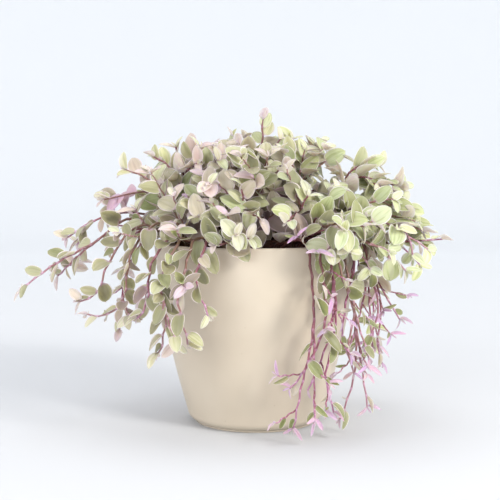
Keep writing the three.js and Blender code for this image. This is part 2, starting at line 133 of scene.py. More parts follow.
BACK_CROWN = {"count": 10, "from": 8, "to": 172, "stray": 8, "rings": (62, 16, 40), "vary": 0.12}
BACK_FORK = {"apart": 13, "aside": 900}
DOME = {"top": 162, "fall": 0.0088}
BACK_TRAILING = {"count": 5, "from": 22, "to": 166, "crest": (64, 114), "reach": 80, "end": 34, "spread": 30}
BACK_BEND = {"turn": 3, "rise": 8, "end_turn": 5, "end_reach": 1.05, "side_turn": 8, "side_reach": 1.04}

# ---- Random draws: the same sequence that the model was grown with ----
state = SEED


def draw():
    global state
    state = (state * 1664525 + 1013904223) % 4294967296
    return state / 4294967296


def vary(share):
    return 1 + share * (2 * draw() - 1)


# ---- Vectors as plain tuples, in double precision ----
def add(a, b):
    return (a[0] + b[0], a[1] + b[1], a[2] + b[2])


def minus(a, b):
    return (a[0] - b[0], a[1] - b[1], a[2] - b[2])


def times(a, k):
    return (a[0] * k, a[1] * k, a[2] * k)


def dot(a, b):
    return a[0] * b[0] + a[1] * b[1] + a[2] * b[2]


def size(a):
    return math.sqrt(dot(a, a))


def unit(a):
    return times(a, 1 / size(a))


def cross(a, b):
    return (a[1] * b[2] - a[2] * b[1], a[2] * b[0] - a[0] * b[2], a[0] * b[1] - a[1] * b[0])


def polar(degrees, radius, z):
    turn = degrees * math.pi / 180
    return (radius * math.cos(turn), radius * math.sin(turn), z)


def turned(a, b, degrees):
    """A direction at so many degrees from a towards b."""
    turn = math.radians(degrees)
    return add(times(a, math.cos(turn)), times(b, math.sin(turn)))


def heading_of(p):
    return math.atan2(p[1], p[0]) * 180 / math.pi


def clamp(x, low=0.0, high=1.0):
    return min(max(x, low), high)


# ---- The pot's and the soil's shape ----
def pot_radius(z):
    t = z / POT["height"]
    return POT["base"] + (POT["rim"] - POT["base"]) * t + POT["bulge"] * 4 * t * (1 - t)


def soil_height(x, y):
    out = math.hypot(x, y) / (POT["rim"] - POT["wall"])
    lump = SOIL["lump"] * math.sin(0.31 * x + 1) * math.cos(0.27 * y - 0.4)
    return SOIL["edge"] + SOIL["crown"] * (1 - out * out) + lump


# ---- Curves: a uniform Catmull-Rom line through waypoints ----
ARC_STEPS = 200


def on_line(way, t):
    """The point of the line at t from 0 to 1, with an equal share of t between waypoints."""
    last = len(way) - 1
    at = last * t
    i = min(int(at), last - 1)
    w = at - i
    before = way[i - 1] if i > 0 else add(minus(way[0], way[1]), way[0])
    after = way[i + 2] if i + 2 <= last else add(minus(way[last], way[last - 1]), way[last])
    point = []
    for x0, x1, x2, x3 in zip(before, way[i], way[i + 1], after):
        t0, t1 = 0.5 * (x2 - x0), 0.5 * (x3 - x1)
        c2 = -3 * x1 + 3 * x2 - 2 * t0 - t1
        c3 = 2 * x1 - 2 * x2 + t0 + t1
        point.append(x1 + t0 * w + c2 * w**2 + c3 * w**3)
    return tuple(point)


def spaced(way, gap):
    """Points at even distances along the line, about gap apart."""
    lengths = [0.0]
    here = on_line(way, 0)
    for p in range(1, ARC_STEPS + 1):
        there = on_line(way, p / ARC_STEPS)
        lengths.append(lengths[-1] + size(minus(there, here)))
        here = there
    steps = max(2, math.floor(lengths[-1] / gap + 0.5))
    points = []
    for d in range(steps + 1):
        target = d / steps * lengths[-1]
        i = min(bisect.bisect_right(lengths, target) - 1, ARC_STEPS - 1)
        share = (target - lengths[i]) / (lengths[i + 1] - lengths[i])
        points.append(on_line(way, (i + share) / ARC_STEPS))
    return points


# ---- What is already there: sample points that later pieces stay clear of ----
CELL = 6
cells = {}


def cell_of(p):
    return (math.floor(p[0] / CELL), math.floor(p[1] / CELL), math.floor(p[2] / CELL))


def occupy(point, stem, leaf):
    cells.setdefault(cell_of(point), []).append((point, stem, leaf))


def near(point):
    i, j, k = cell_of(point)
    found = []
    for a in range(i - 1, i + 2):
        for b in range(j - 1, j + 2):
            for c in range(k - 1, k + 2):
                found.extend(cells.get((a, b, c), ()))
    return found


# ---- Stems ----
FINE_STEP = 1.5
roots = []


def fine(points):
    """Points close together along a list of points, each with its span and its share of that span."""
    made = []
    for i in range(len(points) - 1):
        span = minus(points[i + 1], points[i])
        parts = math.ceil(size(span) / FINE_STEP)
        made += [(add(points[i], times(span, k / parts)), i, k / parts) for k in range(parts)]
    made.append((points[-1], len(points) - 2, 1))
    return made


def push_at(p, stem):
    """How far a point of a stem has to move to be clear of the pot's wall and of the other stems."""
    push = (0, 0, 0)
    away = math.hypot(p[0], p[1])
    outside = pot_radius(min(p[2], POT["height"])) + WALL_CLEAR - away
    rise = POT["height"] + WALL_CLEAR - p[2]
    if rise > 0 and outside > 0 and away > POT["rim"] - POT["wall"] - WALL_CLEAR:
        push = (0, 0, rise) if rise < outside else times((p[0] / away, p[1] / away, 0), outside)
    for point, other, _ in near(p):
        gap = minus(p, point)
        far = size(gap)
        if other != stem and far < STEM_APART:
            push = add(push, times(gap, (STEM_APART - far) / max(far, 0.1)))
    return push


def bend_clear(points, stem, fixed):
    """Bends a stem clear of what is there, all but its first fixed points."""
    for _ in range(BEND["rounds"]):
        moves = [(0, 0, 0)] * len(points)
        clear = True
        for at, span, share in fine(points):
            push = push_at(at, stem)
            if size(push) < 1e-6:
                continue
            clear = False
            moves[span] = add(moves[span], times(push, 0.5 * (1 - share)))
            moves[span + 1] = add(moves[span + 1], times(push, 0.5 * share))
        if clear:
            return
        for i in range(fixed, len(points)):
            far = size(moves[i])
            points[i] = add(points[i], times(moves[i], min(BEND["most"] / max(far, 1e-9), 1)))


def root_for(first):
    radius = min(ROOT["most"], math.hypot(first[0], first[1]) * ROOT["share"])
    heading = heading_of(first)
    for inward in ROOT_TRIES["inward"]:
        for turn in ROOT_TRIES["turns"]:
            spot = polar(heading + turn, max(ROOT["least"], radius - inward), 0)
            if all(math.hypot(r[0] - spot[0], r[1] - spot[1]) > ROOT["apart"] for r in roots):
                return spot
    raise ValueError("no room for a root")


def plant(name, row, trailing):
    """One rooted stem with its shoots. bare is the first point of a shoot that may carry a leaf."""
    way, side = row
    first = way[0]
    stem = {"name": name, "trailing": trailing, "shoots": [], "leaves": []}
    stem["hanging"] = first[2] < HANGING["under"]
    gap = (GAP["trailing"] if trailing else GAP["crown"]) * vary(0.1)
    over = trailing and math.hypot(first[0], first[1]) > POT["rim"] - CREST["from"]
    root = root_for(first)
    roots.append(root)
    inward = ROOT["most"] - math.hypot(root[0], root[1])
    rise = CREST["rise"] * vary(CREST["vary"]) + CREST["inner"] * inward
    crest = polar(heading_of(first), CREST["radius"], POT["height"] + rise)
    way = [crest, *way] if over and first[2] < crest[2] + CREST["under"] else way
    ground = soil_height(root[0], root[1])
    foot = (root[0], root[1], ground - SUNK)
    collar = (root[0], root[1], ground + COLLAR)
    points = [foot, *spaced([collar, *way], gap)]
    bend_clear(points, name, 2)
    share = math.ceil((len(points) - 1) * BARE["share"])
    bare = math.floor(BARE["over"] / gap + 0.5) if over else share
    stem["shoots"].append({"points": points, "bare": bare, "kind": "main"})
    for at, _, _ in fine(points):
        occupy(at, name, -1)
    for tip in side:
        add_shoot(stem, points, tip, gap)
    return stem


def add_shoot(stem, points, tip, gap):
    """A side shoot leaves the main stem along it and bends to its own tip."""
    at = max(2, math.floor((len(points) - 1) * FORK["at"] * vary(FORK["vary"]) + 0.5))
    ahead = points[at + 1] if at + 1 < len(points) else points[at]
    along = unit(minus(ahead, points[at - 1]))
    start = points[at]
    reach = size(minus(tip, start))
    aside = times(unit(minus(tip, start)), FORK["aside"] * reach)
    lean = add(start, add(times(along, FORK["along"] * reach), aside))
    shoot = spaced([start, lean, tip], gap)
    bend_clear(shoot, stem["name"], 1)
    stem["shoots"].append({"points": shoot, "bare": 1, "kind": "side"})
    for p, _, _ in fine(shoot):
        occupy(p, stem["name"], -1)


def dome(degrees, radius):
    return polar(degrees, radius, DOME["top"] - DOME["fall"] * radius**2)


def back_crown(i):
    b = BACK_CROWN
    heading = b["from"] + ((b["to"] - b["from"]) * (i + 0.5)) / b["count"] + b["stray"] * (draw() - 0.5)
    radius = b["rings"][i % len(b["rings"])] * vary(b["vary"])
    turn = BACK_FORK["aside"] * (1 if i % 2 else -1) / radius
    return [dome(heading, radius)], [dome(heading + turn, radius + BACK_FORK["apart"])]


def back_trailing(i):
    b, bend = BACK_TRAILING, BACK_BEND
    heading = b["from"] + ((b["to"] - b["from"]) * i) / (b["count"] - 1)
    last = b["end"] + b["spread"] * 2 * draw()
    middle = (POT["height"] + last) / 2
    way = [polar(heading, *b["crest"]), polar(heading + bend["turn"], b["reach"], middle + bend["rise"])]
    way.append(polar(heading + bend["end_turn"], b["reach"] * bend["end_reach"], last))
    side = polar(heading - bend["side_turn"], b["reach"] * bend["side_reach"], middle)
    return way, [side] if i % 2 else []


def plant_all(kind, rows, trailing):
    return [plant(f"{kind}_stem_{i + 1:02d}", row, trailing) for i, row in enumerate(rows)]


stems = plant_all("right", RIGHT, True)
stems += plant_all("left", LEFT, True)
stems += plant_all("crown", CROWN, False)
stems += plant_all("back", [back_trailing(i) for i in range(BACK_TRAILING["count"])], True)
stems += plant_all("rear", [back_crown(i) for i in range(BACK_CROWN["count"])], False)

# ---- Leaves ----
TIP_SHARE = (0.7, 0.88, 0.96)
TURNS = (0, 24, -24, 48, -48, 72, -72, 100, -100)
LIFTS = (0, 14, -14)
LIGHT = (0.06, -0.34, 0.66)
OUTWARD = {"share": 0.72, "behind": 18}
DRIFT = {"least": 25, "more": 30}
LIFT = {"mean": 38, "spread": 14, "tip": 18}
PROUD = 3.4
SAMPLES = ((0.35, 0), (0.65, 0), (0.85, 0), (1, 0), (0.28, 1), (0.28, -1), (0.6, 1), (0.6, -1))


def half_width(v):
    """Half a blade's width at a share v of its length, as a share of that length."""
    return 0.5 * LEAF["width"] * max(math.sin(math.pi * v ** LEAF["skew"]), 0) ** LEAF["round"]


def blade_point(leaf, v, w):
    """A point of a blade: v along it, w across it from -1 to 1."""
    arch = LEAF["cup"] * abs(w) * math.sin(math.pi * v ** LEAF["skew"]) - LEAF["droop"] * v * v
    across = times(leaf["across"], leaf["long"] * half_width(v) * w)
    risen = add(across, times(leaf["up"], leaf["long"] * arch))
    return add(leaf["from"], add(times(leaf["along"], leaf["long"] * v), risen))


def leaf_at(points, k, turn, lift, long, slim, facing):
    here = times(add(points[k], points[k - 1]), 0.5)
    along = unit(minus(points[k], points[k - 1]))
    outward = unit((here[0], here[1] - OUTWARD["behind"], 0))
    aside = cross(outward, (0, 0, 1))
    aside = minus(aside, times(along, dot(aside, along)))
    aside = unit(cross(along, (0, 0, 1))) if size(aside) < 0.2 else unit(aside)
    axis = unit(turned(turned(aside, cross(along, aside), turn), along, lift))
    wanted = add(add(LIGHT, times(outward, OUTWARD["share"])), facing)
    up = minus(wanted, times(axis, dot(wanted, axis)))
    up = unit(cross(axis, aside)) if size(up) < 0.15 else unit(up)
    return {"from": here, "along": axis, "across": times(cross(up, axis), slim), "up": up, "long": long}


def in_reach(p):
    """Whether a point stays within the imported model's box, or nearly so."""
    return all(low / MM - PROUD < x < high / MM + PROUD for x, low, high in zip(p, *cad_box))


def fits(leaf, stem, apart):
    for v, w in SAMPLES:
        p = blade_point(leaf, v, w)
        away = math.hypot(p[0], p[1])
        if p[2] < LEAF_CLEAR["floor"] or not in_reach(p):
            return False
        if p[2] < POT["height"] + LEAF_CLEAR["pot"] and away > POT["rim"] - POT["wall"] - LEAF_CLEAR["pot"]:
            if away < pot_radius(p[2]) + LEAF_CLEAR["pot"]:
                return False
        elif away < POT["rim"] and p[2] < soil_height(p[0], p[1]) + LEAF_CLEAR["soil"]:
            return False
        for point, other, number in near(p):
            gap = size(minus(point, p))
            if other != stem:
                if gap <= apart["other"]:
                    return False
            elif number < 0:
                if v >= 0.5 and gap <= LEAF_CLEAR["stem"]:
                    return False
            elif gap <= apart["own"]:
                return False
    return True


def try_leaf(stem, points, k, turn, lift, long, slim, facing, apart):
    """The first way of turning a leaf at this place of its stem that leaves room around it, or None."""
    for t in TURNS:
        for l in LIFTS:
            tried = leaf_at(points, k, turn + t, lift + l, long, slim, facing)
            if fits(tried, stem["name"], apart):
                return tried
    return None


def keep(stem, leaf, age, blush):
    """age runs from 0 in a bud to 0.6 in a grown leaf and 1 in an old one, and blush is its share of pink."""
    stem["leaves"].append({**leaf, "age": age, "blush": blush})
    for v, w in SAMPLES:
        occupy(blade_point(leaf, v, w), stem["name"], len(stem["leaves"]))


def some_facing(sway):
    """How far a leaf's face is turned from the light."""
    return (sway * (draw() - 0.5), sway * (draw() - 0.5), sway * (draw() - 0.5))


def large_leaves(stem, shoot, number):
    """Leaves stand in turn on two sides of a shoot. A crown shoot has its large ones near its tip only."""
    points = shoot["points"]
    last = len(points) - 1
    turn = 360 * draw()
    drift = DRIFT["least"] + DRIFT["more"] * draw()
    sway = HANGING["sway"] if stem["hanging"] else SWAY
    slim = HANGING["slim"] if stem["hanging"] else 1
    for k in range(max(1, shoot["bare"]), last + 1):
        turn += 180 + drift
        to_tip = last - k
        grown = (TIP_SHARE[to_tip] if to_tip < 3 else 1) * vary(0.18)
        lift = LIFT["mean"] + LIFT["spread"] * (2 * draw() - 1) + (LIFT["tip"] if to_tip < 2 else 0)
        facing = some_facing(sway)
        if not stem["trailing"] and to_tip >= (LEAFY["side"] if number else LEAFY["main"]):
            continue
        if stem["hanging"] and to_tip % HANGING["every"]:
            continue
        leaf = try_leaf(stem, points, k, turn, lift, LEAF["length"] * grown, slim, facing, LEAF_APART)
        if leaf:
            leaf["root"] = (shoot, 2 * k - 1)
            keep(stem, leaf, 0.3 + 0.1 * min(to_tip, 3), 0.3)


for stem in stems:
    for number, shoot in enumerate(stem["shoots"]):
        large_leaves(stem, shoot, number)

# ---- The finished line of a stem: a node at every point and half-way between, in a slight zigzag ----
ZIGZAG = {"hanging": 0.3, "trailing": 0.5, "crown": 0.35, "sprig": 0.3}


def lay_course(shoot, swing):
    """The shoot's nodes. From its first leaf on they stand to the left and right of its line in turn."""
    points = shoot["points"]
    last = len(points) - 1
    first = 2 * shoot["bare"] - 2
    course = []
    for j in range(2 * last + 1):
        at = on_line(points, j / (2 * last))
        ahead = minus(points[min(j // 2 + 1, last)], points[min(j // 2, last - 1)])
        side = cross(unit(ahead), unit((at[0], at[1] - OUTWARD["behind"], 12)))
        grown = clamp((j - first + 1) / 3) * (-1 if j % 2 else 1) * swing * vary(0.3)
        course.append(add(at, times(side, grown)))
    shoot["course"] = course
    shoot["first"] = max(first, 1)


for stem in stems:
    way_of_growing = "hanging" if stem["hanging"] else "trailing" if stem["trailing"] else "crown"
    for shoot in stem["shoots"]:
        lay_course(shoot, ZIGZAG[way_of_growing])
    for leaf in stem["leaves"]:
        shoot, node_number = leaf["root"]
        leaf["root"] = shoot["course"][node_number]

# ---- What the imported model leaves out: the leaves between, leafy sprigs and the young leaves at tips ----
# For each kind of stem: the share of nodes with a leaf, its share of pink, the size and the slimness of those
# leaves, how far some have aged, how often a node bears a sprig, and how long one is.
STYLE_KEYS = ("leafy", "pink", "leaf", "slim", "old", "sprigs", "reach")
STYLE_ROWS = {
    "hanging": (0.12, 1, (0.45, 0.8), 0.5, 0.4, 0.55, (8, 18)),
    "right": (0.6, 0.4, (0.9, 1.2), 1.12, 0.15, 0.35, (9, 19)),
    "left": (0.5, 0.75, (0.72, 1), 0.92, 1, 0.28, (9, 20)),
    "crown": (0.86, 0.9, (0.88, 1.18), 1.05, 0.3, 0.38, (11, 24)),
    "back": (0.8, 0.7, (0.8, 1.1), 1, 0.4, 0.34, (9, 19)),
    "rear": (1, 0.8, (0.88, 1.18), 1.05, 0.3, 0.5, (12, 26)),
}
STYLES = {kind: dict(zip(STYLE_KEYS, row)) for kind, row in STYLE_ROWS.items()}
LOWER = {"rear": 5, "crown": 1}  # how many nodes further down the leaves start
OUTSIDE = {"over": 30, "rear": 0.6, "back": 0.8}  # past this y, how far leaves turn their faces outward
LUSH = {"over": 84, "right_of": 36}  # here a hanging stem bears leaves like those of the stems that arch out
BETWEEN = {"turn": 150, "stray": 60, "lift": 36, "spread": 22, "near_tip": 7, "small": 4, "shrink": 0.88}
MORE_APART = {"other": 2.0, "own": 2.1}
SPRIG_APART = {"other": 1.7, "own": 1.7}
SPRIG = {"gap": 5, "clear": 1.9, "leaf_clear": 1.2, "along": 0.18, "aside": 0.2, "light": 0.3}
SPRIG_ONWARD = {"hanging": 1.1, "other": 0.8}
SPRIG_DOME = {"top": 172, "fall": 0.0052}
SPRIG_TURNS = (0, 60, -60, 120, -120, 180)
BUD = {"hanging": (0.66, 0.52, 0.32), "other": (0.74, 0.6, 0.3)}
BUD_SLIM = {"hanging": 0.38, "other": 0.85}
BUD_APART = {"other": 1.3, "own": 0}


def style_at(stem, p):
    lush = stem["hanging"] and p[2] > LUSH["over"] and p[0] > LUSH["right_of"]
    return STYLES["right"] if lush else stem["style"]


def add_leaf(stem, ends, turn, share, age, blush, apart):
    """One more leaf, between two near points of a shoot, if there is room for it."""
    lift = BETWEEN["lift"] + BETWEEN["spread"] * (2 * draw() - 1)
    facing = some_facing(HANGING["sway"] if stem["hanging"] else SWAY)
    if stem["kind"] in OUTSIDE and ends[0][1] > OUTSIDE["over"]:
        facing = add(facing, times(unit((ends[0][0], ends[0][1], 0)), OUTSIDE[stem["kind"]]))
    slim = style_at(stem, ends[0])["slim"]
    leaf = try_leaf(stem, ends, 1, turn, lift, LEAF["length"] * share, slim, facing, apart)
    if leaf:
        keep(stem, leaf, age, blush)


def round_node(course, j):
    """Two points close before and behind a node, whose middle is the node."""
    along = times(unit(minus(course[min(j + 1, len(course) - 1)], course[j - 1])), 1.5)
    return [minus(course[j], along), add(course[j], along)]


def leaves_between(stem, shoot):
    """Leaves at the nodes between the model's own, and at those that the model leaves bare."""
    course = shoot["course"]
    last = len(course) - 1
    turn = 360 * draw()
    lowest = shoot["first"] - LOWER.get(stem["kind"], 0) if shoot["kind"] == "main" else shoot["first"]
    for j in range(max(lowest, 1), last):
        turn += BETWEEN["turn"] + BETWEEN["stray"] * draw()
        style = style_at(stem, course[j])
        least, most = style["leaf"]
        if draw() > style["leafy"] or (j % 2 and (stem["trailing"] or last - j < BETWEEN["near_tip"])):
            continue
        share = (least + (most - least) * draw()) * (BETWEEN["shrink"] if last - j < BETWEEN["small"] else 1)
        blush = draw() ** 1.5 * stem["pink"]
        add_leaf(stem, round_node(course, j), turn, share, 0.3 + 0.05 * min(last - j, 7), blush, MORE_APART)


def sprig_is_clear(points, stem):
    for p, span, _ in fine(points):
        away = math.hypot(p[0], p[1])
        if p[2] < 3 or not in_reach(p) or p[2] > SPRIG_DOME["top"] - SPRIG_DOME["fall"] * away**2:
            return False
        if p[2] < POT["height"] + 2 and POT["rim"] - 6 < away < POT["rim"] + 2:
            return False
        if p[2] < POT["height"] and away < pot_radius(p[2]) + 2:
            return False
        reach = size(minus(p, points[0]))
        for point, other, number in near(p):
            far = size(minus(point, p))
            if other != stem["name"] and far < SPRIG["clear"]:
                return False
            if other == stem["name"] and reach > 4 and far < SPRIG["clear" if number < 0 else "leaf_clear"]:
                return False
    return True


def add_sprig(stem, course, j):
    """A short side sprig from a node, bent a little towards the light, at the first turn that is clear."""
    start = course[j]
    along = unit(minus(course[j + 1], course[j - 1]))
    shortest, longest = stem["style"]["reach"]
    length = shortest + (longest - shortest) * draw()
    side = unit(cross(along, unit((draw() - 0.5, draw() - 0.5, draw() - 0.5))))
    for turn in SPRIG_TURNS:
        out = turned(side, cross(along, side), turn)
        onward = times(along, SPRIG_ONWARD[stem["manner"]])
        tip = add(start, times(unit(add(add(onward, out), times(LIGHT, SPRIG["light"]))), length))
        lean = add(start, add(times(along, SPRIG["along"] * length), times(out, SPRIG["aside"] * length)))
        sprig = spaced([start, lean, tip], SPRIG["gap"])
        if sprig_is_clear(sprig, stem):
            shoot = {"points": sprig, "bare": 1, "kind": "sprig"}
            stem["shoots"].append(shoot)
            lay_course(shoot, ZIGZAG["sprig"])
            for p, _, _ in fine(sprig):
                occupy(p, stem["name"], -1)
            leaves_on_sprig(stem, shoot["course"])
            return


def leaves_on_sprig(stem, course):
    turn = 360 * draw()
    last = len(course) - 1
    least, most = stem["style"]["leaf"]
    first, step = (3, 4) if stem["hanging"] else (1, 2)
    for i in range(first, last, step):
        turn += 180 + 40 * draw()
        share = (0.85 + 0.15 * (last - i) / last) * (least + (most - least) * draw())
        blush = (0.2 + 0.8 * draw()) * stem["pink"]
        add_leaf(stem, round_node(course, i), turn, share, 0.22 + 0.08 * (last - i), blush, SPRIG_APART)


def bud(stem, shoot):
    """The youngest leaves stand close together at a tip, half open."""
    course = shoot["course"]
    end = course[-1]
    along = unit(minus(course[-1], course[-2]))
    side = unit(cross(along, unit((0.3, 1, 0.2))))
    over = cross(along, side)
    turn = 360 * draw()
    for i, share in enumerate(BUD[stem["manner"]]):
        turn += 160 + 40 * draw()
        out = turned(side, over, turn)
        axis = unit(turned(out, along, 22 + 20 * i + 14 * draw()))
        wanted = add(add(times(out, -0.4), times(along, 0.3)), times(LIGHT, 1.1))
        up = minus(wanted, times(axis, dot(wanted, axis)))
        up = unit(up) if size(up) > 0.15 else unit(cross(axis, side))
        long = LEAF["length"] * share * vary(0.15)
        root = minus(end, times(along, 0.9 - 0.3 * i))
        across = times(cross(up, axis), BUD_SLIM[stem["manner"]] * vary(0.12))
        leaf = {"from": root, "along": axis, "across": across, "up": up, "long": long}
        if fits(leaf, stem["name"], BUD_APART):
            blush = 0.6 + 0.4 * draw() if stem["hanging"] else (0.15 + 0.75 * draw()) * stem["pink"]
            keep(stem, leaf, 0.22 - 0.1 * i, blush)


for stem in stems:
    stem["kind"] = "hanging" if stem["hanging"] else stem["name"].split("_")[0]
    stem["manner"] = "hanging" if stem["hanging"] else "other"
    stem["style"] = STYLES[stem["kind"]]
    stem["pink"] = stem["style"]["pink"] * vary(0.3)
    for shoot in stem["shoots"]:
        leaves_between(stem, shoot)
for stem in stems:
    for shoot in list(stem["shoots"]):
        for j in range(max(3, shoot["first"]), len(shoot["course"]) - 2, 2):
            if draw() < stem["style"]["sprigs"]:
                add_sprig(stem, shoot["course"], j)
for stem in stems:
    for shoot in stem["shoots"]:
        bud(stem, shoot)

# ---- Age and blush: the left side, which had more sun, is pinker, a patch of young shoots is lilac, and painted shade makes crown leaves deep under the dome older and mauve ----
SUNNY = {"middle": 0.62, "fall": 0.0055, "least": 0.2}
LILAC = {"at": (-72, -12, 134), "reach": 10}
PAINTED_SHADE = {"from": 12, "over": 18}  # how far under the dome a leaf starts to take painted shade, and over how much more it is painted fully older, darker and mauve


def ripen(stem):
    for leaf in stem["leaves"]:
        x, y, z = leaf["from"]
        grown = leaf["age"] > 0.25
        leaf["age"] += stem["style"]["old"] * draw() ** 1.5 * grown
        if style_at(stem, leaf["from"]) is STYLES["hanging"]:
            leaf["age"] = leaf["age"] + 0.6 if grown else 0.1 * draw()
            leaf["blush"] = 0.2 * draw() if grown else leaf["blush"]
            continue
        leaf["blush"] *= clamp(SUNNY["middle"] - SUNNY["fall"] * x, SUNNY["least"], 1)
        if size(minus(leaf["from"], LILAC["at"])) < LILAC["reach"] and draw() < 0.7:
            leaf["age"], leaf["blush"] = 0.15, 0.9
        # Painted shade: a crown leaf deep under the dome is made older, darker and mauve
        depth_in_shade = (DOME["top"] - DOME["fall"] * (x * x + y * y) - z - PAINTED_SHADE["from"]) / PAINTED_SHADE["over"]
        if not stem["trailing"] and depth_in_shade > 0:
            leaf["age"] = max(leaf["age"], 0.5 + 0.4 * clamp(depth_in_shade))
            leaf["blush"] = max(leaf["blush"], (0.4 + 0.6 * draw()) * clamp(depth_in_shade))
        leaf["age"], leaf["blush"] = clamp(leaf["age"]), clamp(leaf["blush"])


for stem in stems:
    ripen(stem)


# ---- Materials: colours are sRGB codes, and the sizes of patterns are in millimetres ----
LEAF_WIDE = LEAF["length"] * LEAF["width"]
STRIPES = {"face": 1.495, "veins": 0.345, "back": 0.99667}
GRAIN = {"stem": 5.5556, "glaze": 45.4545, "specks": 10.5263, "ripple": 16.6667, "peat": 1.6129}
FLESH = {"Subsurface_Weight": 0.6, "Subsurface_Radius": (1, 1, 0.6), "Subsurface_Scale": MM, "IOR": 1.42}
BLEND = {"out": 2, "data_type": "RGBA"}  # what makes a Mix node mix colours


def colour(code):
    """An sRGB hex code as linear red, green, blue and alpha."""
    parts = [int(code[i : i + 2], 16) / 255 for i in (0, 2, 4)]
    return (*[c / 12.92 if c <= 0.04045 else ((c + 0.055) / 1.055) ** 2.4 for c in parts], 1)


def feed(tree, made, inputs):
    """Sets or links a node's inputs, by name or number. Text is a colour's code."""
    for name, value in inputs.items():
        if isinstance(value, bpy.types.NodeSocket):
            tree.links.new(value, made.inputs[name])
        else:
            made.inputs[name].default_value = colour(value) if isinstance(value, str) else value


def node(tree, kind, inputs=None, out=0, stops=(), **settings):
    """Adds a node with its settings, inputs and colour stops, and gives an output, or all for None."""
    made = tree.nodes.new("ShaderNode" + kind)
    for name, value in settings.items():
        setattr(made, name, value)
    feed(tree, made, inputs or {})
    while stops and len(made.color_ramp.elements) < len(stops):
        made.color_ramp.elements.new(1)
    for i, (at, code) in enumerate(stops):
        made.color_ramp.elements[i].position = at
        made.color_ramp.elements[i].color = colour(code)
    return made.outputs if out is None else made.outputs[out]


def new_material(name, **finish):
    """A material, what adds nodes to it, and what feeds its shader. finish is what is alike all over."""
    made = bpy.data.materials.new(name)
    made.use_nodes = True
    tree = made.node_tree
    shade = partial(feed, tree, tree.nodes["Principled BSDF"])
    shade({socket.replace("_", " "): value for socket, value in finish.items()})
    return made, partial(node, tree), shade


def leaf_values(put, drawn_out):
    """What both faces of a leaf go by. Noise at vein_way is drawn out along the leaf, anew on each one."""
    across, along, _ = put("SeparateXYZ", {0: put("UVMap", uv_map="UVMap")}, None)
    phase, blush, age = put("SeparateXYZ", {0: put("Attribute", out="Vector", attribute_name="growth")}, None)
    shifted = put("Math", {0: phase, 1: 37, 2: across}, operation="MULTIPLY_ADD")
    slow = put("Math", {0: along, 1: drawn_out}, operation="MULTIPLY")
    vein_way = put("CombineXYZ", {0: shifted, 1: slow})
    centred = put("Math", {0: across, 1: 0.5}, operation="SUBTRACT")
    to_edge = put("Math", {0: centred}, operation="ABSOLUTE")
    return along, to_edge, vein_way, phase, blush, age


def leaf_face():
    """Living leaf, upper face: waxy over pale flesh, striped lengthwise, with a cream and pink margin."""
    made, put, shade = new_material("leaf_upper_face_waxy", **FLESH)
    along, to_edge, vein_way, phase, blush, age = leaf_values(put, 0.12)
    stripes = put("TexNoise", {"Vector": vein_way, "Scale": LEAF_WIDE / STRIPES["face"], "Detail": 1.5})
    veins = put("TexNoise", {"Vector": vein_way, "Scale": LEAF_WIDE / STRIPES["veins"], "Detail": 1})

    # Some leaves are plain green and others boldly striped, some cooler and others yellower.
    flesh = put("Mix", {0: phase, 6: "c1cba3", 7: "d0d49a"}, **BLEND)
    pale = put("MapRange", {"Value": stripes, "From Min": 0.48, "From Max": 0.62, "To Max": 0.9})
    bold = put("MapRange", {"Value": phase, "To Min": 0.2, "To Max": 0.85})
    pale = put("Math", {0: pale, 1: bold}, operation="MULTIPLY")
    paled = put("Mix", {0: pale, 6: flesh, 7: "e0dfc0"}, **BLEND)
    dark = put("MapRange", {"Value": stripes, "From Min": 0.46, "From Max": 0.36, "To Max": 0.42})
    striped = put("Mix", {0: dark, 6: paled, 7: "8b955c"}, **BLEND)

    # A blushing leaf is washed with beige pink. An older one is duller: olive or, if it blushes, mauve.
    wash = put("MapRange", {"Value": blush, "From Min": 0.12, "From Max": 0.6, "To Max": 0.55})
    washed = put("Mix", {0: wash, 6: striped, 7: "d2b3b6"}, **BLEND)
    old = put("MapRange", {"Value": age, "From Min": 0.2, "To Max": 0.82})
    dull = put("Mix", {0: blush, 6: "6f7742", 7: "8d6880"}, **BLEND)
    body = put("Mix", {0: old, 6: washed, 7: dull}, **BLEND)

    # The pale margin wavers with the stripes.
    wavering = put("Math", {0: stripes, 1: 0.06, 2: to_edge}, operation="MULTIPLY_ADD")
    margin = put("MapRange", {"Value": wavering, "From Min": 0.472, "From Max": 0.496})
    rim = put("Mix", {0: blush, 6: "f0ecdc", 7: "dca9bd"}, **BLEND)
    edged = put("Mix", {0: margin, 6: body, 7: rim}, **BLEND)

    # A young leaf, and the clasping foot of any leaf, is flushed with pink.
    young = put("MapRange", {"Value": age, "From Min": 0.45, "From Max": 0, "To Max": 0.95})
    flush = put("Math", {0: young, 1: blush}, operation="MULTIPLY")
    foot = put("MapRange", {"Value": along, "From Min": 0.17, "From Max": 0.02, "To Max": 0.6})
    pinked = put("Math", {0: flush, 1: foot}, operation="MAXIMUM")
    tint = put("Mix", {0: phase, 6: "d5a0c0", 7: "c093cf"}, **BLEND)
    skin = put("Mix", {0: pinked, 6: edged, 7: tint}, **BLEND)

    rough = put("MapRange", {"Value": stripes, "To Min": 0.36, "To Max": 0.52})
    relief = put("Bump", {"Height": veins, "Strength": 0.3, "Distance": 0.2 * MM})
    shade({"Base Color": skin, "Roughness": rough, "Normal": relief})
    return made


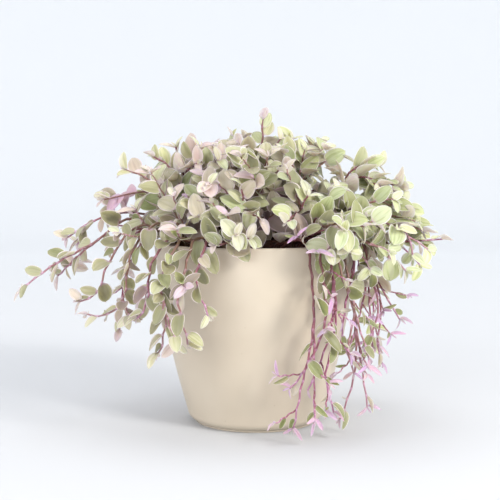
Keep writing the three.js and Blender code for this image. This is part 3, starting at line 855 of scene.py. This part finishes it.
def leaf_back():
    """Living leaf, underside: the same flesh under a duller skin, flushed with mauve between pale veins."""
    made, put, shade = new_material("leaf_underside_matt", Roughness=0.6, **FLESH)
    _, to_edge, vein_way, _, blush, age = leaf_values(put, 0.3)
    stripes = put("TexNoise", {"Vector": vein_way, "Scale": LEAF_WIDE / STRIPES["back"], "Detail": 1.5})
    flesh = put("Mix", {0: age, 6: "e8d8da", 7: "cac6ad"}, **BLEND)
    flushed = put("MapRange", {"Value": stripes, "From Min": 0.62, "From Max": 0.4})
    amount = put("Math", {0: blush, 1: 0.5, 2: 0.25}, operation="MULTIPLY_ADD")
    amount = put("Math", {0: amount, 1: flushed}, operation="MULTIPLY")
    skin = put("Mix", {0: amount, 6: flesh, 7: "bc8cab"}, **BLEND)
    edge = put("MapRange", {"Value": to_edge, "From Min": 0.42, "From Max": 0.5, "To Max": 0.7})
    shade({"Base Color": put("Mix", {0: edge, 6: skin, 7: "efe3e0"}, **BLEND)})
    return made


def stem_skin():
    """Soft creeping stem: smooth waxy skin, dark red at the soil, pink at the tip and pale at young nodes."""
    made, put, shade = new_material("stem_waxy_skin", Roughness=0.42, **FLESH)
    knot, blush, age = put("SeparateXYZ", {0: put("Attribute", out="Vector", attribute_name="growth")}, None)
    place = put("TexCoord", out="Object")
    mottle = put("TexNoise", {"Vector": place, "Scale": 1 / (GRAIN["stem"] * MM), "Detail": 3})
    aged = put("Math", {0: mottle, 1: 0.2, 2: age}, operation="MULTIPLY_ADD")
    ages = [(0.08, "bf8eb0"), (0.35, "9c5973"), (0.68, "703944"), (1, "4d1f25")]
    ripe = put("ValToRGB", {0: aged}, stops=ages)
    green = put("Mix", {0: blush, 6: "9a8b66", 7: ripe}, **BLEND)
    young = put("MapRange", {"Value": age, "From Min": 0.7, "From Max": 0.1, "To Max": 0.65})
    sheath = put("Math", {0: knot, 1: young}, operation="MULTIPLY")
    ringed = put("Mix", {0: sheath, 6: green, 7: "dcb6cf"}, **BLEND)
    relief = put("Bump", {"Height": mottle, "Strength": 0.2, "Distance": 0.2 * MM})
    shade({"Base Color": ringed, "Normal": relief})
    return made


def pot_glaze():
    """Slip-cast stoneware under a satin cream glaze: even, with a faint warm mottle and a few pin specks."""
    made, put, shade = new_material("satin_cream_glaze", IOR=1.5, Coat_Weight=0.15, Coat_Roughness=0.3)
    place = put("TexCoord", out="Object")
    cloud = put("TexNoise", {"Vector": place, "Scale": 1 / (GRAIN["glaze"] * MM), "Detail": 3})
    body = put("ValToRGB", {0: cloud}, stops=[(0.3, "c5b7a2"), (0.7, "cfc2ae")])
    pits = put("TexVoronoi", {"Vector": place, "Scale": 1 / (GRAIN["specks"] * MM)})
    speck = put("MapRange", {"Value": pits, "From Min": 0.06, "From Max": 0.02, "To Max": 0.2})
    skin = put("Mix", {0: speck, 6: body, 7: "8d7355"}, **BLEND)
    rough = put("MapRange", {"Value": cloud, "To Min": 0.36, "To Max": 0.5})
    ripple = put("TexNoise", {"Vector": place, "Scale": 1 / (GRAIN["ripple"] * MM), "Detail": 2})
    relief = put("Bump", {"Height": ripple, "Strength": 0.12, "Distance": 0.4 * MM})
    shade({"Base Color": skin, "Roughness": rough, "Normal": relief})
    return made


def peat():
    """Damp peat compost: dark red-brown, matt, in crumbs of a millimetre or two."""
    made, put, shade = new_material("damp_peat", Roughness=0.95, IOR=1.35)
    place = put("TexCoord", out="Object")
    crumb = put("TexNoise", {"Vector": place, "Scale": 1 / (GRAIN["peat"] * MM), "Detail": 4})
    skin = put("ValToRGB", {0: crumb}, stops=[(0.3, "27130f"), (0.55, "48281f"), (0.78, "6b4535")])
    relief = put("Bump", {"Height": crumb, "Strength": 0.8, "Distance": 0.8 * MM})
    shade({"Base Color": skin, "Normal": relief})
    return made


def studio_paper_painted_shade():
    """Matt background paper with painted shade: pale grey under the pot, where the lamps light it most, and
    off-white further away.
    """
    made, put, shade = new_material("studio_paper_painted_shade", Roughness=0.9)
    away = put("VectorMath", {0: put("TexCoord", out="Object")}, out="Value", operation="LENGTH")
    # Painted shade: darker near the pot, to even out the lamps' brighter light there.
    far = put("MapRange", {"Value": away, "From Min": 0.2, "From Max": 1.3})
    shade({"Base Color": put("ValToRGB", {0: far}, stops=[(0, "cfd0d2"), (1, "eaecee")])})
    return made


LEAF_FACE, LEAF_BACK, STEM_SKIN = leaf_face(), leaf_back(), stem_skin()


# ---- Meshes ----
def finished(name, bm, materials):
    """Turns a bmesh into an object at the origin, with its faces smooth."""
    for face in bm.faces:
        face.smooth = True
    mesh = bpy.data.meshes.new(name)
    bm.to_mesh(mesh)
    bm.free()
    for made in materials:
        mesh.materials.append(made)
    piece = bpy.data.objects.new(name, mesh)
    bpy.context.collection.objects.link(piece)
    return piece


def spun(profile, steps):
    """A surface of revolution about Z, from (radius, height) points that start on the axis."""
    bm = bmesh.new()
    verts = [bm.verts.new((r * MM, 0, z * MM)) for r, z in profile]
    edges = [bm.edges.new(pair) for pair in zip(verts, verts[1:])]
    turn = {"cent": (0, 0, 0), "axis": (0, 0, 1), "angle": math.tau, "steps": steps, "use_merge": True}
    bmesh.ops.spin(bm, geom=verts + edges, **turn)
    bmesh.ops.remove_doubles(bm, verts=bm.verts, dist=1e-6)
    bmesh.ops.recalc_face_normals(bm, faces=bm.faces)
    return bm


def arc(centre, radius, start, end, steps):
    """Points (radius, height) round a corner of a profile, by angle from +R towards +Z."""
    turns = [math.radians(start + (end - start) * i / steps) for i in range(steps + 1)]
    return [(centre[0] + radius * math.cos(a), centre[1] + radius * math.sin(a)) for a in turns]


# ---- The pot ----
def pot_body():
    """The tapered pot: a foot ring, a soft bottom corner, a slightly swelling wall and a rounded lip."""
    corner, wall, height = POT["corner"], POT["wall"], POT["height"]
    edge = pot_radius(corner + FOOT["height"])
    lip = wall / 2 - 0.2
    foot, ring = FOOT["radius"], FOOT["radius"] - FOOT["ring"]
    profile = [(0, FOOT["hollow"]), (ring - FOOT["slope"], FOOT["hollow"]), (ring, 0), (foot, 0)]
    profile += [(foot, FOOT["height"])]
    profile += arc((edge - corner, corner + FOOT["height"]), corner, -84, -8, 8)
    profile += [(pot_radius(z), z) for z in range(10, 104, 6)]
    profile += arc((POT["rim"] - lip, height - lip), lip, 0, 180, 10)
    profile += [(pot_radius(z) - wall, z) for z in range(100, 9, -10)]
    profile += [(pot_radius(5) - wall - 5, POT["floor"]), (0, POT["floor"])]
    piece = finished("pot_body", spun(profile, 128), [pot_glaze()])
    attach(piece, "root")
    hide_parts("pot")


# ---- The soil ----
LUMPS = ((160, 1.1), (520, 0.6))  # how many there are to a metre, and their height
CRUMBS = {"count": 420, "least": 0.5, "most": 1.7, "rough": 0.35, "to_a_metre": 900, "rise": 0.25}
CRUMB_SHAPE = (1.25, 1, 0.75, 1)


def soil_bed():
    """The peat: a lumpy top that meets the wall, with loose crumbs pressed into it."""
    bottom, rings = SOIL["bottom"], 26
    reach = pot_radius(SOIL["edge"]) - POT["wall"] - SOIL["gap"]
    foot = pot_radius(bottom) - POT["wall"] - SOIL["gap"]
    profile = [(0, bottom), (foot, bottom), (reach, SOIL["edge"] - 1)]
    profile += [(reach * (1 - i / rings), SOIL["edge"]) for i in range(rings + 1)]
    bm = spun(profile, 96)
    for vert in bm.verts:
        if vert.co.z > (SOIL["edge"] - 0.5) * MM:
            lump = sum(noise.noise(vert.co * to_a_metre) * height for to_a_metre, height in LUMPS)
            vert.co.z = (soil_height(vert.co.x / MM, vert.co.y / MM) + lump) * MM
    for _ in range(CRUMBS["count"]):
        away, heading = (reach - 2) * math.sqrt(draw()), 360 * draw()
        x, y, _ = polar(heading, away, 0)
        radius = CRUMBS["least"] + (CRUMBS["most"] - CRUMBS["least"]) * draw() ** 2
        crumb = bmesh.ops.create_icosphere(bm, subdivisions=1, radius=radius * MM)["verts"]
        for vert in crumb:
            rough = noise.noise(vert.co * CRUMBS["to_a_metre"] + Vector((x, y, 0)))
            vert.co *= 1 + CRUMBS["rough"] * rough
        place = Matrix.Translation((x * MM, y * MM, (soil_height(x, y) + CRUMBS["rise"]) * MM))
        place = place @ Matrix.Rotation(math.tau * draw(), 4, "Z") @ Matrix.Diagonal(CRUMB_SHAPE)
        bmesh.ops.transform(bm, matrix=place, verts=crumb)
    piece = finished("soil_bed", bm, [peat()])
    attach(piece, "root")
    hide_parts("soil")


# ---- The leaf shapes: unit length along Y, face up ----
LEAF_ROWS, LEAF_COLUMNS = 9, 4
LEAF_THICK = 0.03
CLASP = 0.08  # how far the foot's sides turn up to clasp the stem, and over what share of the leaf
FULLER = {"right": 1.12, "crown": 1.06, "rear": 1.06, "left": 0.92}
SHAPES = [
    {"cup": 0.05, "fold": 0.04, "droop": 0.16, "twist": 0, "wave": 0.01},
    {"cup": 0.1, "fold": 0.05, "droop": 0.1, "twist": 8, "wave": 0.014},
    {"cup": 0.03, "fold": 0.1, "droop": 0.22, "twist": -8, "wave": 0.012},
    {"cup": 0.07, "fold": 0.02, "droop": 0.3, "twist": 5, "wave": 0.02},
    {"cup": 0.13, "fold": 0.06, "droop": 0.05, "twist": -5, "wave": 0.008},
]


def outline(v):
    """Half a finished leaf's width at a share v of its length: fuller than the growth rule's, and pointed."""
    return 0.5 * LEAF["width"] * max(math.sin(math.pi * v**0.9), 0) ** (0.5 + 0.09 * v * v)


def leaf_shape(number, cup, fold, droop, twist, wave):
    """One closed leaf, thickest along its middle, with sharp edges."""
    bm = bmesh.new()
    uv = bm.loops.layers.uv.new("UVMap")
    bmesh.ops.create_grid(bm, x_segments=LEAF_COLUMNS, y_segments=LEAF_ROWS, size=0.5, calc_uvs=True)
    for face in bm.faces:
        for loop in face.loops:
            loop[uv].uv = (loop.vert.co.x + 0.5, loop.vert.co.y + 0.5)
    thick = {}
    for vert in bm.verts:
        w, v = 2 * vert.co.x, vert.co.y + 0.5
        body = math.sin(math.pi * v ** LEAF["skew"]) if v < 1 else 0
        rise = cup * w * w * body + fold * abs(w) * body - droop * v * v
        rise += wave * abs(w) * math.sin(9 * v + 2.4 * w + number) * body
        rise += CLASP * abs(w) ** 1.5 * math.exp(-v / CLASP) * (v > 0)
        turned = math.radians(twist) * v
        x = outline(v) * w
        vert.co = (x * math.cos(turned), v, rise + x * math.sin(turned))
        thick[vert] = LEAF_THICK * (1 - w * w) * body**0.5
    under = bmesh.ops.duplicate(bm, geom=bm.faces[:] + bm.edges[:] + bm.verts[:])
    faces = [g for g in under["geom"] if isinstance(g, bmesh.types.BMFace)]
    for vert, copy in under["vert_map"].items():
        if vert in thick:
            copy.co.z -= thick[vert]
    bmesh.ops.reverse_faces(bm, faces=faces)
    for face in faces:
        face.material_index = 1
    bmesh.ops.remove_doubles(bm, verts=bm.verts, dist=1e-5)
    for edge in bm.edges:
        edge.smooth = len({f.material_index for f in edge.link_faces}) < 2
    mesh = bpy.data.meshes.new(f"leaf_shape_{number}")
    bm.to_mesh(mesh)
    bm.free()
    return mesh


LEAVES = [leaf_shape(i, **shape) for i, shape in enumerate(SHAPES)]


def place_leaf(bm, layer, leaf, fuller):
    before = len(bm.verts)
    bm.from_mesh(LEAVES[int(len(LEAVES) * draw())])
    bm.verts.ensure_lookup_table()
    made = bm.verts[before:]
    root = Vector(leaf.get("root", leaf["from"])) * MM
    long = leaf["long"] * MM
    across = -Vector(leaf["across"]) * long * fuller * vary(0.1)
    axes = Matrix((across, Vector(leaf["along"]) * long, Vector(leaf["up"]) * long)).transposed()
    bmesh.ops.transform(bm, matrix=Matrix.Translation(root) @ axes.to_4x4(), verts=made)
    growth = Vector((draw(), leaf["blush"], leaf["age"]))
    for vert in made:
        vert[layer] = growth


# ---- The stems ----
STEM_SIDES = 7
GIRTH = {"main": (0.85, 0.5), "side": (0.66, 0.45), "sprig": (0.48, 0.34)}
SECTIONS = ((0, 1), (0.12, 0.6), (0.3, 0), (0.85, 0))
SWELL = 0.26
TENDER = {"trailing": 0.03, "crown": 0.45}  # how old the skin looks at a tip


def stem_sections(shoot, stem):
    """Where the skin passes: the centre, the radius and the growth of each section, swollen at the nodes."""
    course = shoot["course"]
    last = len(course) - 1
    foot, tip = GIRTH[shoot["kind"]]
    tender = TENDER["trailing" if stem["trailing"] else "crown"]
    made = []
    for j in range(last):
        for share, knot in SECTIONS:
            t = (j + share) / last
            knot *= j >= shoot["first"] - 1
            old = tender + (1 - tender) * (1 - t) * (1 if shoot["kind"] == "main" else 0.5)
            radius = (foot + (tip - foot) * t) * (1 + SWELL * knot)
            made.append((Vector(on_line(course, t)) * MM, radius * MM, Vector((knot, stem["flush"], old))))
    made.append((Vector(course[last]) * MM, tip * 0.8 * MM, Vector((0, stem["flush"], tender))))
    return made


def add_tube(bm, layer, sections):
    """A ring drawn from section to section, closed at both ends."""
    heading = (sections[1][0] - sections[0][0]).normalized()
    side = heading.orthogonal().normalized()
    ring = bmesh.ops.create_circle(bm, cap_ends=True, segments=STEM_SIDES, radius=1)["verts"]
    edges = list({edge for vert in ring for edge in vert.link_edges})
    faces = list({face for vert in ring for face in vert.link_faces})
    before = Matrix.Identity(4)
    for i, (centre, radius, growth) in enumerate(sections):
        ahead = sections[min(i + 1, len(sections) - 1)][0] - sections[max(i - 1, 0)][0]
        along = ahead.normalized()
        side = (side - along * side.dot(along)).normalized()
        axes = Matrix((side, along.cross(side), along)).transposed() * radius
        after = Matrix.Translation(centre) @ axes.to_4x4()
        if i:
            made = bmesh.ops.extrude_edge_only(bm, edges=edges)["geom"]
            ring = [g for g in made if isinstance(g, bmesh.types.BMVert)]
            edges = [g for g in made if isinstance(g, bmesh.types.BMEdge)]
            edges = [e for e in edges if e.verts[0] in ring and e.verts[1] in ring]
            faces += [g for g in made if isinstance(g, bmesh.types.BMFace)]
        bmesh.ops.transform(bm, matrix=after @ before.inverted(), verts=ring)
        for vert in ring:
            vert[layer] = growth
        before = after
    faces += bmesh.ops.contextual_create(bm, geom=edges)["faces"]
    bmesh.ops.recalc_face_normals(bm, faces=faces)
    for face in faces:
        face.material_index = 2


def vine(stem):
    """One rooted stem with its shoots and leaves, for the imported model's node of the same number."""
    bm = bmesh.new()
    bm.loops.layers.uv.new("UVMap")
    layer = bm.verts.layers.float_vector.new("growth")
    for shoot in stem["shoots"]:
        add_tube(bm, layer, stem_sections(shoot, stem))
    for leaf in stem["leaves"]:
        place_leaf(bm, layer, leaf, FULLER.get(stem["kind"], 1))
    piece = finished(stem["name"].replace("stem", "vine"), bm, [LEAF_FACE, LEAF_BACK, STEM_SKIN])
    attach(piece, "root")
    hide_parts(stem["name"])


pot_body()
soil_bed()
for stem in stems:
    stem["flush"] = 0.55 + 0.45 * draw()
    vine(stem)
for mesh in LEAVES:
    bpy.data.meshes.remove(mesh)


# ---- The studio: a pale paper bowl, so that every side has the same plain ground ----
BOWL = {"floor": 1500, "bend": 700, "top": 2200}


def studio():
    edge, bend = BOWL["floor"], BOWL["bend"]
    profile = [(0, 0), (300, 0), (900, 0), *arc((edge, bend), bend, -90, 0, 16), (edge + bend, BOWL["top"])]
    bm = spun(profile, 96)
    bmesh.ops.reverse_faces(bm, faces=bm.faces)
    finished("studio_bowl", bm, [studio_paper_painted_shade()])


def lamp(name, place, reach, power, tone):
    """A soft square lamp that faces the plant."""
    data = bpy.data.lights.new(name, "AREA")
    data.size = reach
    data.energy = power
    data.color = colour(tone)[:3]
    made = bpy.data.objects.new(name, data)
    made.location = place
    made.rotation_euler = (Vector((0, 0, 0.09)) - Vector(place)).to_track_quat("-Z", "Y").to_euler()
    bpy.context.collection.objects.link(made)


studio()
lamp("key_lamp", (1.05, -0.95, 0.8), 0.4, 18.5, "fffdfa")
lamp("fill_lamp", (-0.8, -1.05, 0.4), 1.0, 9.5, "f8faff")
lamp("top_lamp", (-0.1, 0.1, 1.6), 1.2, 7, "ffffff")

world = bpy.data.worlds.new("studio_air")
world.use_nodes = True
world.node_tree.nodes["Background"].inputs["Color"].default_value = colour("f4f6fa")
world.node_tree.nodes["Background"].inputs["Strength"].default_value = 0.97
bpy.context.scene.world = world
bpy.context.scene.view_settings.view_transform = "Standard"

# ---- The camera: low in front, a little above the pot's rim ----
view = bpy.data.cameras.new("camera")
view.lens = 72.7
view.sensor_width = 36
view.clip_start = 0.01
camera = bpy.data.objects.new("camera", view)
camera.location = (-0.0035, -0.597, 0.1447)
camera.rotation_euler = (math.radians(90 - 4.2), 0, 0)
bpy.context.collection.objects.link(camera)
bpy.context.scene.camera = camera
